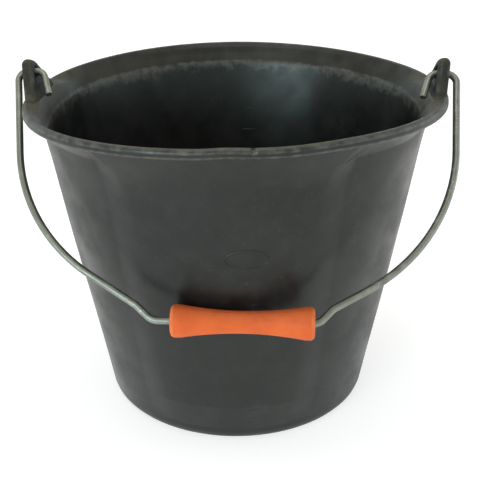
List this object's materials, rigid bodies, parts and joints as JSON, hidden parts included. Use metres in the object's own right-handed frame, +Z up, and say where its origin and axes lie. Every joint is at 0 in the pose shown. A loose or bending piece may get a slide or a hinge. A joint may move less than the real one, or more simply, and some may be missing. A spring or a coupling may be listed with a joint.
{
  "type": "builder's bucket",
  "caption": "Black plastic builder's bucket with a flared collar, raised front and back panels, moulded lugs, and a swinging steel wire bail with an orange grip.",
  "frame": {"origin": "on the ground, at the centre of the tub's foot", "axes": "+Z up, +X through the right-hand lug along the bail's axis, -Y towards the front, where the bail rests"},
  "size_m": [0.3445, 0.328, 0.2788],
  "materials": {
    "tub_plastic": "satin black polyethylene, scuffed by use",
    "galvanised_wire": "zinc-coated drawn wire, dull",
    "grip_plastic": "moulded orange plastic, fine matte texture"
  },
  "bodies": {
    "tub": {"bucket": "tub_plastic"},
    "bail": {"bail_wire": "galvanised_wire"},
    "grip": {"grip": "grip_plastic"}
  },
  "joints": [
    {"name": "bail_swing", "type": "hinge", "parent": "tub", "child": "bail", "pos_m": [0, 0, 0.2675], "axis": [-1, 0, 0], "range_deg": [0, 269.4]},
    {"name": "grip_spin", "type": "hinge", "parent": "bail", "child": "grip", "pos_m": [0.01262, -0.14252, 0.12647], "axis": [1, 0, 0], "continuous": true}
  ]
}
